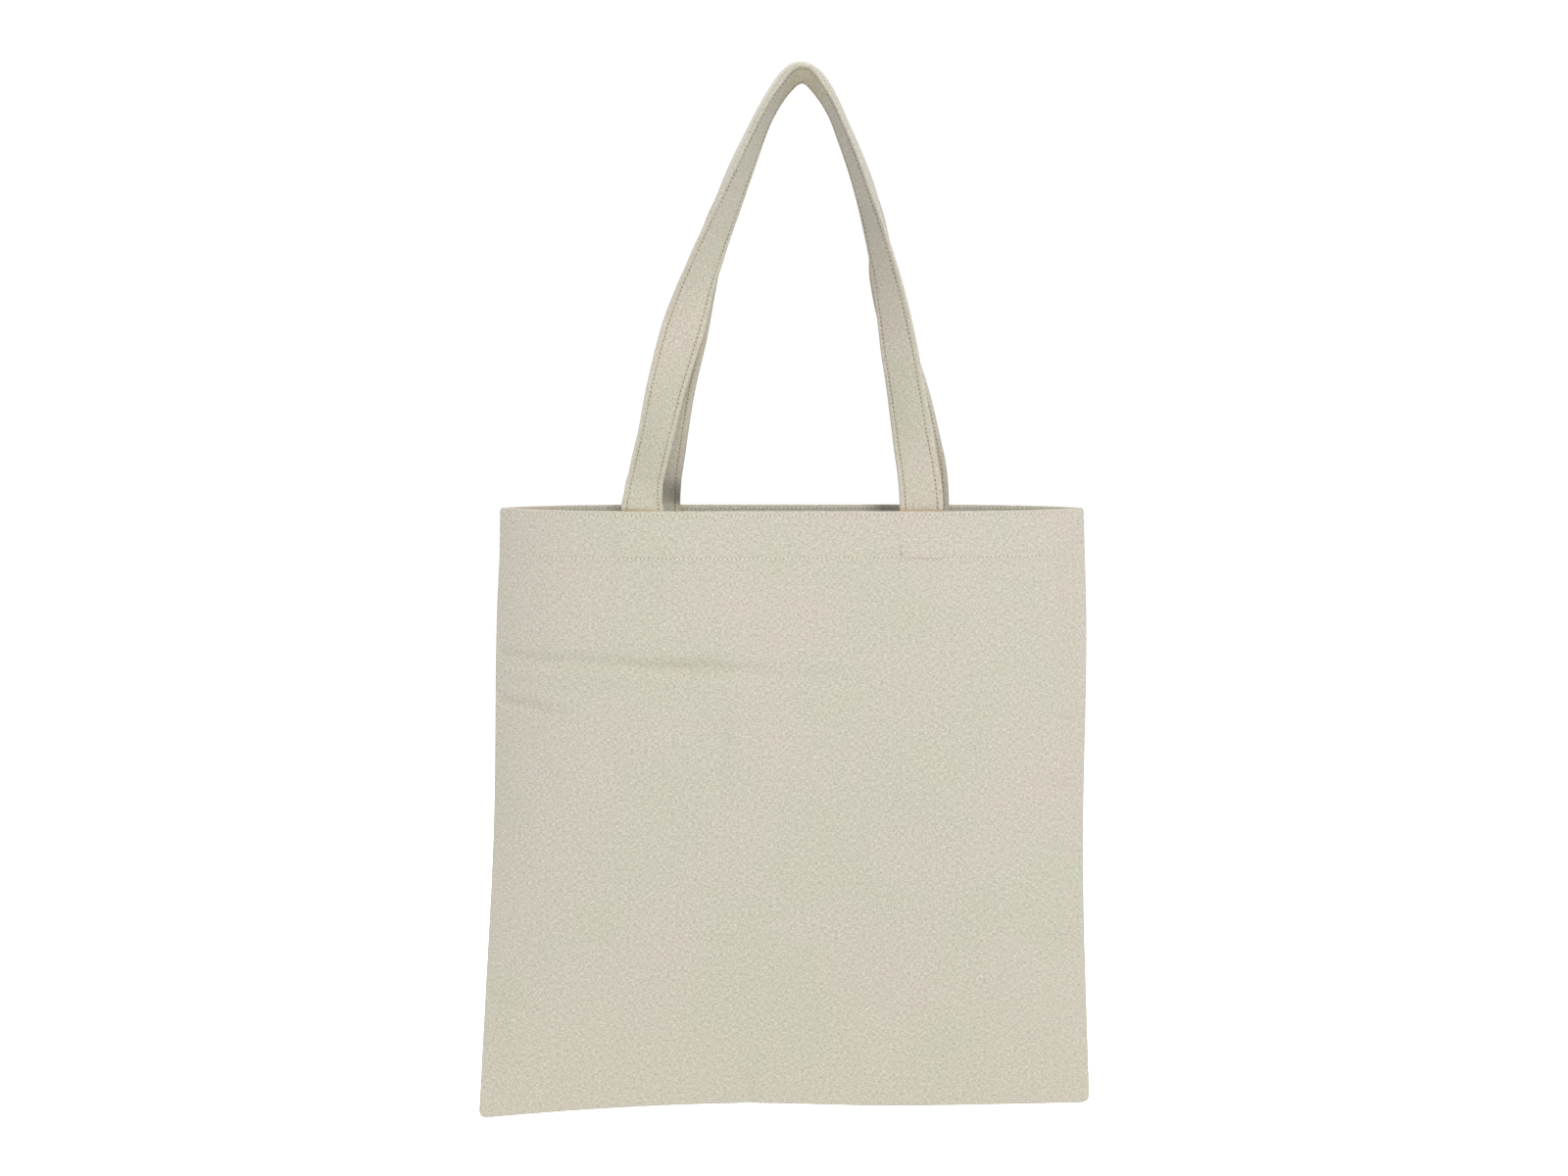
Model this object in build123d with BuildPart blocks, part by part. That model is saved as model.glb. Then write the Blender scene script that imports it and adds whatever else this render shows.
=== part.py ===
from build123d import *
import math
import os

# A flat canvas tote bag, hanging from its two handles. Millimetres, +Z up, the front faces -Y.
# The origin is where a hook or a hand carries it, under the top of the front handle.

os.makedirs("parts", exist_ok=True)

# Canvas bag body
CLOTH = 0.8
RIM_Z = -254.5
BASE_Z = -628.0
HEM_HEIGHT = 30.0
HEM_PLIES = 3
RIM_CENTRE_X = -7.2
RIM_HALF_WIDTH = 177.6
BASE_CENTRE_X = -12.0
BASE_HALF_WIDTH = 188.5
MOUTH_DEPTH = 28.9
SEAM_ALLOWANCE = 10.0
FRONT_CLEARANCE = 0.3
END_WALL = 1.2

# Handles, cut from the same canvas and folded to four plies
STRAP_WIDTH = 26.0
STRAP_THICKNESS = 2.2
SEWN_LENGTH = 28.0
STRAP_STEP = 9.0

# Thread
THREAD_HEIGHT = 0.3
THREAD_WIDTH = 0.6
RIM_ROW_DROP = 2.5
HEM_ROW_DROP = 28.3
EDGE_ROW_INSET = 3.5
TACK_LENGTH = 10.0
ROW_END_GAP = 8.0

HEM_Z = RIM_Z - HEM_HEIGHT
HEM_THICKNESS = HEM_PLIES * CLOTH
PANEL_LEVELS = [RIM_Z, HEM_Z, -345, -405, -460, -510, -550, -582, -606, BASE_Z]
PLAN_STATIONS = [-1, -0.985, -0.95, -0.88, -0.77, -0.6, -0.35, 0, 0.35, 0.6, 0.77, 0.88, 0.95, 0.985, 1]

# Each handle's centre line from rim to rim: across, back, up, and the twist of its face in degrees.
# The outer edge comes forward on the front handle, and goes back on the back handle, where the twist is above 0.
FRONT_PATH = [
    (-97, -25.6, RIM_Z, 0), (-96, -19.5, -236, 38), (-89, -16.5, -206, 35), (-83, -15, -181, 25),
    (-73, -14, -147, 10), (-62, -14, -113, 40), (-43, -14, -67, 60), (-23, -14, -21, 75),
    (-11.5, -13.5, -3, 76), (-1, -13.5, 5, 70), (8.5, -13.5, -3, 76), (19, -14, -21, 78),
    (36, -15, -67, 70), (48.5, -16.5, -113, 55), (57, -18.5, -159, 33), (64.5, -22, -206, 26),
    (70.5, -26, RIM_Z, 0),
]
BACK_PATH = [
    (-89, 25.6, RIM_Z, 0), (-87, 21.5, -236, 25), (-82, 20, -206, 30), (-78, 19, -183, 30),
    (-69.5, 18, -147, 33), (-62, 17, -113, 40), (-51, 16, -67, 80), (-30, 14, -21, 82),
    (-13, 14, 7, 82), (-2.5, 14, 13.5, 82), (10, 14, 7, 82), (25, 14, -21, 82),
    (43, 16, -67, 80), (49, 17, -113, 48), (59.5, 19, -159, 40), (71, 20.5, -206, 22),
    (77.5, 25.5, RIM_Z, 0),
]

# Side of the bag: the sign of y, the half gap at the seams, the handle's path
SIDES = {
    "front": (-1, CLOTH + FRONT_CLEARANCE, FRONT_PATH),
    "back": (1, CLOTH, BACK_PATH),
}


def fall(z):
    """How far a height lies below the hem, from 0 at the hem to 1 at the bottom seam."""
    return max(0.0, (HEM_Z - z) / (HEM_Z - BASE_Z))


def centre_x(z):
    return RIM_CENTRE_X + (BASE_CENTRE_X - RIM_CENTRE_X) * fall(z)


def half_width(z):
    return RIM_HALF_WIDTH + (BASE_HALF_WIDTH - RIM_HALF_WIDTH) * fall(z)


def panel_depth(z):
    """How far the cloth's outer face bellies out past the seam, at the middle of a panel."""
    return CLOTH + (MOUTH_DEPTH - CLOTH) * (1 - fall(z) ** 1.8) ** 0.85


def belly(u):
    """The plan curve's shape: 1 over the middle of the panel, 0 at the side seams."""
    return 1 - abs(u) ** 5


def side_x(z, hand, inset):
    """A point on the side seam (hand -1 left, 1 right), or inset from it."""
    return centre_x(z) + hand * (half_width(z) - inset)


def plan_points(z, sign, seam_gap, depth, inset):
    half = half_width(z) - inset
    return [(centre_x(z) + half * u, sign * (seam_gap + depth * belly(u))) for u in PLAN_STATIONS]


def layer_outline(z, sign, seam_gap, outer, inner):
    """The outline of one layer of cloth at a height; outer and inner are (depth, inset) pairs."""
    far = plan_points(z, sign, seam_gap, *outer)
    near = plan_points(z, sign, seam_gap, *inner)
    with BuildLine() as outline:
        Spline(*far)
        Line(far[-1], near[-1])
        Spline(*near)
        Line(near[0], far[0])
    return outline.line


def write(builder, name):
    builder.part.label = name
    export_step(builder.part, f"parts/{name}.step")


def make_panel(name, sign, seam_gap):
    """One canvas panel, with its hem turned in as two more plies."""
    with BuildPart() as panel:
        for z in PANEL_LEVELS:
            with BuildSketch(Plane.XY.offset(z)):
                with BuildLine():
                    add(layer_outline(z, sign, seam_gap, (panel_depth(z), 0), (panel_depth(z) - CLOTH, END_WALL)))
                make_face()
        loft(ruled=True)
        with BuildSketch(Plane.XY.offset(HEM_Z)):
            with BuildLine():
                skin = (MOUTH_DEPTH - CLOTH, END_WALL)
                facing = (MOUTH_DEPTH - HEM_THICKNESS, 2 * END_WALL)
                add(layer_outline(RIM_Z, sign, seam_gap, skin, facing))
            make_face()
        extrude(amount=HEM_HEIGHT)
    write(panel, f"{name}_panel")


def make_hem_strip(name, z_low, z_high, x_low, x_high, sign, seam_gap, outer, inner):
    """A strip that follows the hem's curve: a row of thread or the sewn end of a handle."""
    with BuildPart() as strip:
        with BuildSketch(Plane.XY.offset(z_low)):
            with BuildLine():
                add(layer_outline(RIM_Z, sign, seam_gap, outer, inner))
            make_face()
        extrude(amount=z_high - z_low)
        with BuildSketch(Plane.XY.offset(z_low)):
            with Locations(((x_low + x_high) / 2, sign * MOUTH_DEPTH)):
                Rectangle(x_high - x_low, 1.6 * MOUTH_DEPTH)
        extrude(amount=z_high - z_low, mode=Mode.INTERSECT)
    write(strip, name)


def make_hem_trim(name, sign, seam_gap, path):
    """The rows of thread on the hem, and what holds the two ends of this side's handle."""
    thread_face = (MOUTH_DEPTH + THREAD_HEIGHT, -THREAD_HEIGHT)
    on_face = {"sign": sign, "seam_gap": seam_gap, "outer": thread_face, "inner": (MOUTH_DEPTH, 0)}
    left = side_x(RIM_Z, -1, ROW_END_GAP)
    right = side_x(RIM_Z, 1, ROW_END_GAP)
    for row, drop in (("rim", RIM_ROW_DROP), ("hem", HEM_ROW_DROP)):
        z = RIM_Z - drop
        make_hem_strip(f"{name}_{row}_stitch", z - THREAD_WIDTH / 2, z + THREAD_WIDTH / 2, left, right, **on_face)
    facing = (MOUTH_DEPTH - HEM_THICKNESS, 2 * END_WALL)
    tape = (MOUTH_DEPTH - HEM_THICKNESS - STRAP_THICKNESS, 3 * END_WALL)
    for hand, word, x in ((-1, "left", path[0][0]), (1, "right", path[-1][0])):
        low, high = x - STRAP_WIDTH / 2, x + STRAP_WIDTH / 2
        make_hem_strip(
            f"{name}_handle_end_{word}", RIM_Z - SEWN_LENGTH, RIM_Z, low, high, sign, seam_gap, facing, tape
        )
        tack_x = x - hand * STRAP_WIDTH / 2
        tack_top = RIM_Z - HEM_ROW_DROP + THREAD_WIDTH + TACK_LENGTH
        make_hem_strip(
            f"{name}_tack_{word}", tack_top - TACK_LENGTH, tack_top,
            tack_x - THREAD_WIDTH / 2, tack_x + THREAD_WIDTH / 2, **on_face
        )


def handle_planes(sign, path):
    """Planes across the handle: x along its width, y out of its face, z along its length."""
    points = [Vector(*point[:3]) for point in path]
    slopes = [(far - near).normalized() for near, far in zip(points, points[2:])]
    slopes = [Vector(0, 0, 1)] + slopes + [Vector(0, 0, -1)]
    planes = []
    for i in range(len(path) - 1):
        third = (points[i + 1] - points[i]).length / 3
        span = Bezier(points[i], points[i] + slopes[i] * third, points[i + 1] - slopes[i + 1] * third, points[i + 1])
        steps = math.ceil(span.length / STRAP_STEP)
        for step in range(steps + (i == len(path) - 2)):
            share = step / steps
            twist = math.radians(path[i][3] + (path[i + 1][3] - path[i][3]) * share)
            along = span.tangent_at(share)
            across = Vector(-along.Z, 0, along.X).normalized() * math.cos(twist) + Vector(0, sign, 0) * math.sin(twist)
            across = across - along * across.dot(along)
            planes.append(Plane(origin=span.position_at(share), x_dir=across, z_dir=along))
    return planes


def make_bands(name, planes, bands):
    """Bands of rectangular section carried through the planes: (along x, along y, width, thickness)."""
    with BuildPart() as solids:
        for at_width, at_face, width, thickness in bands:
            for plane in planes:
                with BuildSketch(plane):
                    with Locations((at_width, at_face)):
                        Rectangle(width, thickness)
            loft(ruled=True)
    write(solids, name)


def make_handle(name, planes):
    make_bands(f"{name}_handle_strap", planes, [(0, 0, STRAP_WIDTH, STRAP_THICKNESS)])
    face = (STRAP_THICKNESS + THREAD_HEIGHT) / 2
    for row, place in (("outer", 1), ("inner", -1)):
        at_width = place * (STRAP_WIDTH / 2 - EDGE_ROW_INSET)
        threads = [(at_width, at_face, THREAD_WIDTH, THREAD_HEIGHT) for at_face in (face, -face)]
        make_bands(f"{name}_handle_{row}_stitch", planes, threads)


def make_seam_strip(name, corners, half_thickness):
    """A flat strip in the plane between the two panels, given by its corners across and up."""
    with BuildPart() as strip:
        with BuildSketch(Plane.XZ):
            with BuildLine():
                Polyline(*corners, close=True)
            make_face()
        extrude(amount=half_thickness, both=True)
    write(strip, name)


def side_strip_corners(hand, outer_inset, inner_inset, z_low):
    return [
        (side_x(RIM_Z, hand, outer_inset), RIM_Z),
        (side_x(HEM_Z, hand, outer_inset), HEM_Z),
        (side_x(z_low, hand, outer_inset), z_low),
        (side_x(z_low, hand, inner_inset), z_low),
        (side_x(HEM_Z, hand, inner_inset), HEM_Z),
        (side_x(RIM_Z, hand, inner_inset), RIM_Z),
    ]


def base_strip_corners(inset, z_low, z_high):
    return [
        (side_x(z_low, -1, inset), z_low),
        (side_x(z_low, 1, inset), z_low),
        (side_x(z_high, 1, inset), z_high),
        (side_x(z_high, -1, inset), z_high),
    ]


def make_seams():
    """The allowances turned inside, two plies thick, and the overlocked thread along their raw edges."""
    thread_edge = SEAM_ALLOWANCE + THREAD_WIDTH
    allowance_top = BASE_Z + SEAM_ALLOWANCE
    for hand, word in ((-1, "left"), (1, "right")):
        make_seam_strip(f"side_seam_{word}", side_strip_corners(hand, 0, SEAM_ALLOWANCE, BASE_Z), CLOTH)
        make_seam_strip(
            f"overlock_{word}", side_strip_corners(hand, SEAM_ALLOWANCE, thread_edge, allowance_top), CLOTH
        )
    make_seam_strip("bottom_seam", base_strip_corners(SEAM_ALLOWANCE, BASE_Z, allowance_top), CLOTH)
    make_seam_strip(
        "overlock_bottom", base_strip_corners(thread_edge, allowance_top, allowance_top + THREAD_WIDTH), CLOTH
    )


for side_name, (side_sign, gap, centre_line) in SIDES.items():
    make_panel(side_name, side_sign, gap)
    make_hem_trim(side_name, side_sign, gap, centre_line)
    make_handle(side_name, handle_planes(side_sign, centre_line))
make_seams()
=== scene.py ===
import math

import bpy
import numpy as np
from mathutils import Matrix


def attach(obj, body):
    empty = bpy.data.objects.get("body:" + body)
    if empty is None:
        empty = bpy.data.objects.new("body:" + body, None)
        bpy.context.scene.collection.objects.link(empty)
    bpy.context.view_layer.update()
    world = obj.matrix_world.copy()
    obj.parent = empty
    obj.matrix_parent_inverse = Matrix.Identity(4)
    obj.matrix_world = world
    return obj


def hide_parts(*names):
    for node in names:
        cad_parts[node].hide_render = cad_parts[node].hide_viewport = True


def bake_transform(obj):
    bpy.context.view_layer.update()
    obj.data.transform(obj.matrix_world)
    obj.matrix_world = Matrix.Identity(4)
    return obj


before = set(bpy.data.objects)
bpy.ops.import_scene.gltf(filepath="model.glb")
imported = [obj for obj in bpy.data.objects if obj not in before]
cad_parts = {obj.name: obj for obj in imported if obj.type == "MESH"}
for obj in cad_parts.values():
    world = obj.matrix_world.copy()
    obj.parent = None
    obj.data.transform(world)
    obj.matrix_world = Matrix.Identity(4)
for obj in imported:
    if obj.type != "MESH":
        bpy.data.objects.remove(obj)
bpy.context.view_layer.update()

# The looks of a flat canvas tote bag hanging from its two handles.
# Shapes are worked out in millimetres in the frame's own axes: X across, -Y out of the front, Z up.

MM = 0.001

# Body, as in the CAD
CLOTH = 0.8
RIM_Z = -254.5
BASE_Z = -628.0
HEM_Z = -284.5
RIM_CENTRE_X = -7.2
RIM_HALF_WIDTH = 177.6
BASE_CENTRE_X = -12.0
BASE_HALF_WIDTH = 188.5
MOUTH_DEPTH = 28.9
SEAM_ALLOWANCE = 10.0
# How far the hem's raw edge is turned back up inside it
HEM_TURN_IN = 8.0
RIM_ROW_DROP = 2.5
HEM_ROW_DROP = 28.3
EDGE_ROW_INSET = 3.5
ROW_END_GAP = 8.0

# The mesh of the cloth: a ply's thickness, the bend at a seam, how far the outer and the inner plies keep from
# the plane between the panels, and the rounding of the two bottom corners
PLY = 0.74
BEAD = 0.6
MID_GAP = 1.65
INNER_GAP = 1.25
CORNER_RADIUS = 5.5
# Where the cloth turns: below the rim, and above the bottom
RIM_TURN = 1.2
BASE_TURN = 1.0
# How much flatter each panel is than its plain shape
FLATTER = {"front": 0.15, "back": 0.45}
# The row and the column of a panel's grid along which its cloth is measured out flat
FLAT_ROW = 120
FLAT_COLUMN = 100

# Handles
STRAP_HALF_WIDTH = 13.0
STRAP_HALF_THICKNESS = 1.1
STRAP_EDGE_ROUND = 1.0
SEWN_LENGTH = 28.0
SEWN_STEPS = 20
PATH_STEP = 1.3
# The middle line of each handle from rim to rim: across, back, up, and the twist of the face in degrees. They
# are the CAD's points, with one more just above the rim where the front handle's left end turns.
FRONT_PATH = [
    (-97, -25.6, RIM_Z, 0), (-97, -23.5, -248, 30), (-96, -19.5, -236, 38), (-89, -16.5, -206, 35),
    (-83, -15, -181, 25), (-73, -14, -147, 10), (-62, -14, -113, 40), (-43, -14, -67, 60),
    (-23, -14, -21, 75), (-11.5, -13.5, -3, 76), (-1, -13.5, 5, 70), (8.5, -13.5, -3, 76), (19, -14, -21, 78),
    (36, -15, -67, 70), (48.5, -16.5, -113, 55), (57, -18.5, -159, 33), (64.5, -22, -206, 26),
    (70.5, -26, RIM_Z, 0),
]
BACK_PATH = [
    (-89, 25.6, RIM_Z, 0), (-87, 21.5, -236, 25), (-82, 20, -206, 30), (-78, 19, -183, 30),
    (-69.5, 18, -147, 33), (-62, 17, -113, 40), (-51, 16, -67, 80), (-30, 14, -21, 82),
    (-13, 14, 7, 82), (-2.5, 14, 13.5, 82), (10, 14, 7, 82), (25, 14, -21, 82),
    (43, 16, -67, 80), (49, 17, -113, 48), (59.5, 19, -159, 40), (71, 20.5, -206, 22),
    (77.5, 25.5, RIM_Z, 0),
]
SIGN = {"front": -1, "back": 1}
PATH = {"front": FRONT_PATH, "back": BACK_PATH}
# How far the middle of a handle stands proud of its edges: height, left leg, right leg
FRONT_CUP = [(RIM_Z, 0, 0), (-236, -1.9, 0.3), (-181, -1, 0.6), (-113, -0.5, 0.3), (0, 0.3, 0.3)]
BACK_CUP = [(RIM_Z, 0, 0), (-206, 0.9, 0.7), (-147, 0.5, 0.6), (0, 0.3, 0.3)]
CUP = {"front": FRONT_CUP, "back": BACK_CUP}

# Thread
STITCH_PITCH = 2.6
STITCH_LENGTH = 1.9
THREAD_RADIUS = 0.23
TACK_THREAD_RADIUS = 0.2
# Radii of the dark lengths that paint the shade in the needle holes
HEM_HOLE_RADIUS = 0.20
STRAP_HOLE_RADIUS = 0.23
OVERLOCK_PITCH = 2.1
OVERLOCK_RADIUS = 0.17
OVERLOCK_WIDTH = 3
EDGE_HALF_THICKNESS = 0.9
TACK_LENGTH = 7.5
# How far the ends of a stitch lie below the face of the cloth, and the rings of its mesh: where they are
# along it and how wide each one is
THREAD_SINK = 0.16
RING_SIDES = 6
RING_PLACES = np.array([0, 0.12, 0.32, 0.5, 0.68, 0.88, 1.0])
RING_WIDTHS = np.array([0.35, 0.8, 1, 1.05, 1, 0.8, 0.35])

# How far the outline stands out from the CAD's: at a height on each side, and at a place along the bottom
LEFT_SWAY = [(BASE_Z, -2), (-460, 1.5), (-300, -1), (RIM_Z, 0)]
RIGHT_SWAY = [(BASE_Z, 2), (-480, -1), (-300, 1.5), (RIM_Z, 0)]
BASE_SWAY = [(-200, -9), (-140, -4), (-40, 0.5), (50, -1), (176, 1)]

# Folds left in the cloth: two ends (across, up), half width, depth of the valley (below 0 for a ridge)
FRONT_CREASES = [
    ((-183, -345), (-72, -350), 4.5, 2), ((-183, -353), (-72, -357), 3.5, -0.7),
    ((-72, -350), (6, -356), 6, 1.3), ((-188, -371), (-158, -377), 2.6, 1.8),
    ((-187, -364), (-160, -369), 2.6, -0.8), ((159, -300), (161, -356), 9, 2),
    ((158, -384), (174, -385), 3.6, 1.6), ((150, -425), (174, -428), 4, 1.3),
    ((-51, -388), (-51, -425), 5, 1), ((-72, -519), (-30, -525), 3, 0.6),
    ((-35, -612), (-34, -632), 4.5, 1.6), ((-111, -256), (-111, -300), 3, -0.6),
    ((-84, -290), (-83, -304), 4, -0.4), ((-150, -610), (-120, -590), 5, 0.8),
    ((92, -560), (60, -600), 8, 0.8), ((-196, -560), (-168, -566), 4, 1),
    ((148, -520), (176, -527), 5, 1), ((22, -540), (24, -600), 7, 0.5),
]
BACK_CREASES = [
    ((168, -360), (40, -366), 5, 1.8), ((-186, -420), (-150, -428), 4, 1.5),
    ((20, -470), (-70, -478), 7, 0.6), ((60, -390), (61, -440), 6, 0.5),
    ((130, -600), (100, -575), 6, 0.5), ((-150, -330), (-152, -300), 7, 0.9),
    ((152, -500), (175, -507), 5, 0.6),
]
CREASES = {"front": FRONT_CREASES, "back": BACK_CREASES}
SEED = {"front": 11, "back": 29}


# ---------------------------------------------------------------- shape of the cloth

def smooth(t):
    """0 to 1 with a soft start and end."""
    t = np.clip(t, 0, 1)
    return t * t * (3 - 2 * t)


def along_list(pairs, at, column=1):
    """A value read between the points of a list, with a soft turn at each of them."""
    pairs = sorted(pairs)
    keys = np.array([pair[0] for pair in pairs], float)
    values = np.array([pair[column] for pair in pairs], float)
    slopes = np.gradient(values, keys)
    at = np.clip(at, keys[0], keys[-1])
    i = np.clip(np.searchsorted(keys, at) - 1, 0, len(keys) - 2)
    step = keys[i + 1] - keys[i]
    t = (at - keys[i]) / step
    return (
        (2 * t**3 - 3 * t**2 + 1) * values[i] + (t**3 - 2 * t**2 + t) * step * slopes[i]
        + (3 * t**2 - 2 * t**3) * values[i + 1] + (t**3 - t**2) * step * slopes[i + 1]
    )


def fall(z):
    """How far a height lies below the hem, from 0 at the hem to 1 at the bottom seam."""
    return np.clip((HEM_Z - z) / (HEM_Z - BASE_Z), 0, 1)


def centre_x(z):
    """The middle of the body at a height."""
    return RIM_CENTRE_X + (BASE_CENTRE_X - RIM_CENTRE_X) * fall(z)


def half_width(z):
    """Half the width of the body at a height."""
    return RIM_HALF_WIDTH + (BASE_HALF_WIDTH - RIM_HALF_WIDTH) * fall(z)


def ripples(x, z, seed, wavelength, height):
    """A slow uneven swell in the cloth."""
    random = np.random.default_rng(seed)
    total = np.zeros(np.broadcast(x, z).shape)
    for _ in range(8):
        angle = random.uniform(0, math.pi)
        length = wavelength * random.uniform(0.7, 1.6)
        phase = random.uniform(0, 2 * math.pi)
        total += np.sin((x * math.cos(angle) + z * math.sin(angle)) * 2 * math.pi / length + phase)
    return height * total / 3


def crease(x, z, start, end, width, depth):
    """A valley or ridge that wanders a little on its way from start to end and dies away past both."""
    length = math.dist(start, end)
    ex, ez = (end[0] - start[0]) / length, (end[1] - start[1]) / length
    t = (x - start[0]) * ex + (z - start[1]) * ez
    off = (z - start[1]) * ex - (x - start[0]) * ez
    wander = 0.8 * np.sin(t / 11 + start[0]) + 0.5 * np.sin(t / 4.3 + start[1])
    past = np.maximum(np.maximum(-t, t - length), 0)
    return -depth * np.exp(-(((off + wander) / width) ** 2) - (past / (0.3 * length)) ** 2)


def relief(side, x, z):
    """How far the cloth stands out from its plain shape: swells, creases, the hem's step and its grooves."""
    seed = SEED[side]
    from_side = half_width(z) - np.abs(x - centre_x(z))
    free = smooth(from_side / 30) * smooth((z - BASE_Z) / 35)
    below_hem = 0.3 + 0.7 * smooth((HEM_Z - z) / 30)
    out = ripples(x, z, seed, 150, 1.3) * free * below_hem
    out += ripples(x, z, seed + 1, 55, 0.28) * free * below_hem
    out += ripples(x, z, seed + 2, 18, 0.05) * free
    for start, end, width, depth in CREASES[side]:
        out += crease(x, z, start, end, width, depth) * smooth(from_side / 5)
    gathers = np.sin(x / 3.1 + 2 * np.sin(x / 17)) * smooth(from_side / 12)
    out += 0.32 * smooth((z - HEM_Z + 0.9) / 1.8) * smooth(from_side / 4)
    for drop, grip in ((RIM_ROW_DROP, 0.20), (HEM_ROW_DROP, 0.30)):
        row = RIM_Z - drop
        out -= grip * np.exp(-(((z - row) / 0.8) ** 2)) * smooth(from_side / 6)
        out += 0.07 * gathers * np.exp(-(((z - row) / 5) ** 2))
    for end in (PATH[side][0], PATH[side][-1]):
        over = smooth((STRAP_HALF_WIDTH + 1.2 - np.abs(x - end[0])) / 2.2)
        out += 0.5 * over * smooth((z - RIM_Z + SEWN_LENGTH + 2) / 3)
    base_pull = np.sin(x / 4.4 + 3 * np.sin(x / 31)) + 0.6 * np.sin(x / 1.9 + 1)
    near_base = np.exp(-(((z - BASE_Z - 9) / 8) ** 2))
    out += 0.10 * base_pull * near_base * smooth((z - BASE_Z) / 6) * smooth(from_side / 12)
    side_pull = np.sin(z / 5.2 + 2 * np.sin(z / 23)) + 0.6 * np.sin(z / 2.3)
    near_side = np.exp(-(((from_side - 9) / 7) ** 2))
    out += 0.12 * side_pull * near_side * smooth(from_side / 5) * smooth((z - BASE_Z) / 12)
    return out


def depth_at(side, x, z):
    """How far the middle of the outer ply is from the plane between the panels."""
    u = np.clip((x - centre_x(z)) / (half_width(z) - BEAD), -1, 1)
    plain = (MOUTH_DEPTH - CLOTH) * (1 - fall(z) ** 1.8) ** 0.85 - FLATTER[side]
    return MID_GAP + np.maximum(plain, 0) * (1 - np.abs(u) ** 5) + relief(side, x, z)


def faces_at(side, x, z):
    """The way the outer ply faces."""
    dx = (depth_at(side, x + 0.3, z) - depth_at(side, x - 0.3, z)) / 0.6
    dz = (depth_at(side, x, z + 0.3) - depth_at(side, x, z - 0.3)) / 0.6
    normal = np.stack([-dx, np.full_like(dx, SIGN[side]), -dz], -1)
    return normal / np.linalg.norm(normal, axis=-1, keepdims=True)


def sway(points):
    """Moves points from the plain outline to the uneven one, and rounds the two bottom corners."""
    x, y, z = points[..., 0], points[..., 1], points[..., 2]
    middle, half = centre_x(z), half_width(z)
    u = np.clip((x - middle) / half, -1, 1)
    left_edge = middle - half + along_list(LEFT_SWAY, z)
    right_edge = middle + half + along_list(RIGHT_SWAY, z)
    bottom = BASE_Z + along_list(BASE_SWAY, x)
    new_x = x + along_list(LEFT_SWAY, z) * (1 - u) / 2 + along_list(RIGHT_SWAY, z) * (1 + u) / 2
    new_z = z + (bottom - BASE_Z) * smooth((fall(z) - 0.7) / 0.3)
    for edge, hand in ((left_edge, 1), (right_edge, -1)):
        a = 1 - hand * (new_x - edge) / CORNER_RADIUS
        b = 1 - (new_z - bottom) / CORNER_RADIUS
        inside = (a > 0) & (b > 0)
        a, b = np.clip(a, 0, 1), np.clip(b, 0, 1)
        new_x = np.where(inside, edge + hand * CORNER_RADIUS * (1 - a * np.sqrt(1 - b * b / 2)), new_x)
        new_z = np.where(inside, bottom + CORNER_RADIUS * (1 - b * np.sqrt(1 - a * a / 2)), new_z)
    return np.stack([new_x, y, new_z], -1)


# ---------------------------------------------------------------- meshes

def mesh_object(name, points, quads, uv, material, normals=None):
    """An object in metres from points and quads in millimetres, without the points that no quad uses."""
    used, quads = np.unique(quads, return_inverse=True)
    quads = quads.reshape(-1, 4)
    mesh = bpy.data.meshes.new(name)
    mesh.from_pydata((points[used] * MM).tolist(), [], quads.tolist())
    corners = np.empty(len(mesh.loops), np.int32)
    mesh.loops.foreach_get("vertex_index", corners)
    layer = mesh.uv_layers.new(name="cloth")
    layer.data.foreach_set("uv", (uv[used][corners] * MM).astype(np.float32).ravel())
    mesh.shade_smooth()
    if normals is not None:
        mesh.normals_split_custom_set_from_vertices(normals[used].tolist())
    mesh.materials.append(material)
    obj = bpy.data.objects.new(name, mesh)
    bpy.context.scene.collection.objects.link(obj)
    return obj


def point_normals(points, quads):
    """The way a surface faces at each of its points."""
    a, b, c, d = (points[quads[:, i]] for i in range(4))
    flat = np.cross(c - a, d - b)
    total = np.zeros_like(points)
    for i in range(4):
        np.add.at(total, quads[:, i], flat)
    size = np.linalg.norm(total, axis=1, keepdims=True)
    return total / np.maximum(size, 1e-9)


def cloth_shell(grid, keep, part=True):
    """Both skins of a ply and the edges between them, from its middle surface. keep marks the cells that
    exist, and part the ones among them to build."""
    rows, cols = grid.shape[:2]
    index = np.arange(rows * cols).reshape(rows, cols)
    cells = np.stack([index[:-1, :-1], index[:-1, 1:], index[1:, 1:], index[1:, :-1]], -1)
    middle = grid.reshape(-1, 3)
    normal = point_normals(middle, cells[keep])
    count = len(middle)
    points = np.concatenate([middle + normal * PLY / 2, middle - normal * PLY / 2])
    cells = cells[keep & part]
    edges = np.concatenate([cells[:, [i, (i + 1) % 4]] for i in range(4)])
    forward, backward = edges[:, 0] * count + edges[:, 1], edges[:, 1] * count + edges[:, 0]
    rim = edges[~np.isin(forward, backward)]
    walls = np.stack([rim[:, 1], rim[:, 0], rim[:, 0] + count, rim[:, 1] + count], -1)
    quads = np.concatenate([cells, cells[:, ::-1] + count, walls])
    return points, quads


def turn(count):
    """Angles through a half turn, without its two ends."""
    return np.linspace(0, math.pi, count + 2)[1:-1]


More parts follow.
